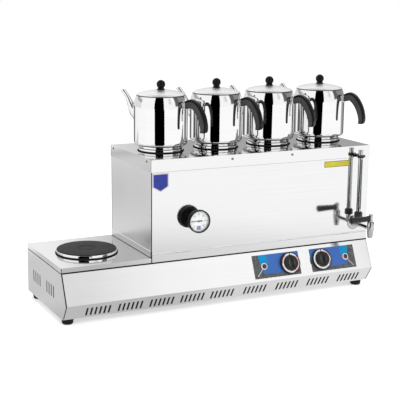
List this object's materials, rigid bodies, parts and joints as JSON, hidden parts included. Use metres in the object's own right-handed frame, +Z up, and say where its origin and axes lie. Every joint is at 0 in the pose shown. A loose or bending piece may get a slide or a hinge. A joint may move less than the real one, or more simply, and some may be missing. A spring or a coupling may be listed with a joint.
{
  "type": "tea urn",
  "caption": "Countertop tea boiler with teapots steam-heated on its cover, a side hot plate, a draw-off tap with a sight glass and a dial gauge.",
  "frame": {"origin": "centre of the bounding box in plan, at the height of the feet's undersides", "axes": "+X to the viewer's right along the front, +Y to the back, +Z up"},
  "size_m": [1.0533, 0.4525, 0.6832],
  "materials": {
    "polished_steel": "mirror-polished stainless steel",
    "plain_steel": "matt stainless steel",
    "bright_trim": "bright chrome",
    "cast_iron": "matt black",
    "black_plastic": "glossy black phenolic",
    "black_enamel": "black enamel",
    "black_rubber": "matt rubber",
    "red_lens": "translucent red",
    "printed_plate": "blue printed aluminium",
    "pale_dial": "white enamel",
    "clear_glass": "clear",
    "brass_fitting": "turned brass"
  },
  "bodies": {
    "machine": {"base_front_panel": "polished_steel", "base_side_panels": "polished_steel", "base_back_panel": "polished_steel", "base_bottom_plate": "plain_steel", "base_top_plate": "polished_steel", "feet": "black_rubber", "hotplate_disc": "cast_iron", "hotplate_rim": "bright_trim", "hotplate_clamp": "plain_steel", "boiler_front_panel": "polished_steel", "boiler_back_panel": "polished_steel", "boiler_side_panels": "polished_steel", "top_cover": "polished_steel", "cover_screws": "bright_trim", "water_tank": "plain_steel", "heating_element": "plain_steel", "heat_regulators": "black_plastic", "lamp_bezels": "bright_trim", "lamp_lenses": "red_lens", "gauge_housing": "black_enamel", "gauge_bezel": "bright_trim", "gauge_dial": "pale_dial", "gauge_glass": "clear_glass", "gauge_stem": "brass_fitting", "tap_flange": "bright_trim", "tap_body": "bright_trim", "sight_nut": "black_plastic", "sight_glass": "clear_glass", "sight_guard": "bright_trim", "sight_bracket": "black_plastic", "cable_gland": "black_plastic", "control_plates": "printed_plate"},
    "knob_1": {"knob_1": "black_plastic", "knob_scale_1": "pale_dial"},
    "knob_2": {"knob_2": "black_plastic", "knob_scale_2": "pale_dial"},
    "tap_handle": {"tap_plug": "brass_fitting", "tap_lever": "bright_trim", "tap_grip": "black_plastic"},
    "gauge_pointer": {"gauge_needle": "black_enamel"},
    "teapot_1": {"teapot_1_body": "polished_steel", "teapot_1_spout": "polished_steel", "teapot_1_grip": "black_plastic"},
    "teapot_1_top": {"teapot_1_lid": "polished_steel", "teapot_1_knob": "black_plastic"},
    "teapot_2": {"teapot_2_body": "polished_steel", "teapot_2_spout": "polished_steel", "teapot_2_grip": "black_plastic"},
    "teapot_2_top": {"teapot_2_lid": "polished_steel", "teapot_2_knob": "black_plastic"},
    "teapot_3": {"teapot_3_body": "polished_steel", "teapot_3_spout": "polished_steel", "teapot_3_grip": "black_plastic"},
    "teapot_3_top": {"teapot_3_lid": "polished_steel", "teapot_3_knob": "black_plastic"},
    "teapot_4": {"teapot_4_body": "polished_steel", "teapot_4_spout": "polished_steel", "teapot_4_grip": "black_plastic"},
    "teapot_4_top": {"teapot_4_lid": "polished_steel", "teapot_4_knob": "black_plastic"}
  },
  "joints": [
    {"name": "knob_1_turn", "type": "hinge", "parent": "machine", "child": "knob_1", "pos_m": [0.221, -0.14087, 0.11066], "axis": [0, -0.9116, 0.411], "range_deg": [-270, 0]},
    {"name": "knob_2_turn", "type": "hinge", "parent": "machine", "child": "knob_2", "pos_m": [0.337, -0.14087, 0.11066], "axis": [0, -0.9116, 0.411], "range_deg": [-270, 0]},
    {"name": "tap_lever_turn", "type": "hinge", "parent": "machine", "child": "tap_handle", "pos_m": [0.471, -0.215, 0.216], "axis": [0, 0, 1], "range_deg": [0, 90]},
    {"name": "gauge_pointer_turn", "type": "hinge", "parent": "machine", "child": "gauge_pointer", "pos_m": [-0.105, -0.1405, 0.28], "axis": [0, -1, 0], "range_deg": [-225, 45]},
    {"name": "teapot_1_lift", "type": "slide", "parent": "machine", "child": "teapot_1", "axis": [0, 0, 1], "range_m": [0, 0.25]},
    {"name": "teapot_1_lid_lift", "type": "slide", "parent": "teapot_1", "child": "teapot_1_top", "axis": [0, 0, 1], "range_m": [0, 0.1]},
    {"name": "teapot_2_lift", "type": "slide", "parent": "machine", "child": "teapot_2", "axis": [0, 0, 1], "range_m": [0, 0.25]},
    {"name": "teapot_2_lid_lift", "type": "slide", "parent": "teapot_2", "child": "teapot_2_top", "axis": [0, 0, 1], "range_m": [0, 0.1]},
    {"name": "teapot_3_lift", "type": "slide", "parent": "machine", "child": "teapot_3", "axis": [0, 0, 1], "range_m": [0, 0.25]},
    {"name": "teapot_3_lid_lift", "type": "slide", "parent": "teapot_3", "child": "teapot_3_top", "axis": [0, 0, 1], "range_m": [0, 0.1]},
    {"name": "teapot_4_lift", "type": "slide", "parent": "machine", "child": "teapot_4", "axis": [0, 0, 1], "range_m": [0, 0.25]},
    {"name": "teapot_4_lid_lift", "type": "slide", "parent": "teapot_4", "child": "teapot_4_top", "axis": [0, 0, 1], "range_m": [0, 0.1]}
  ]
}
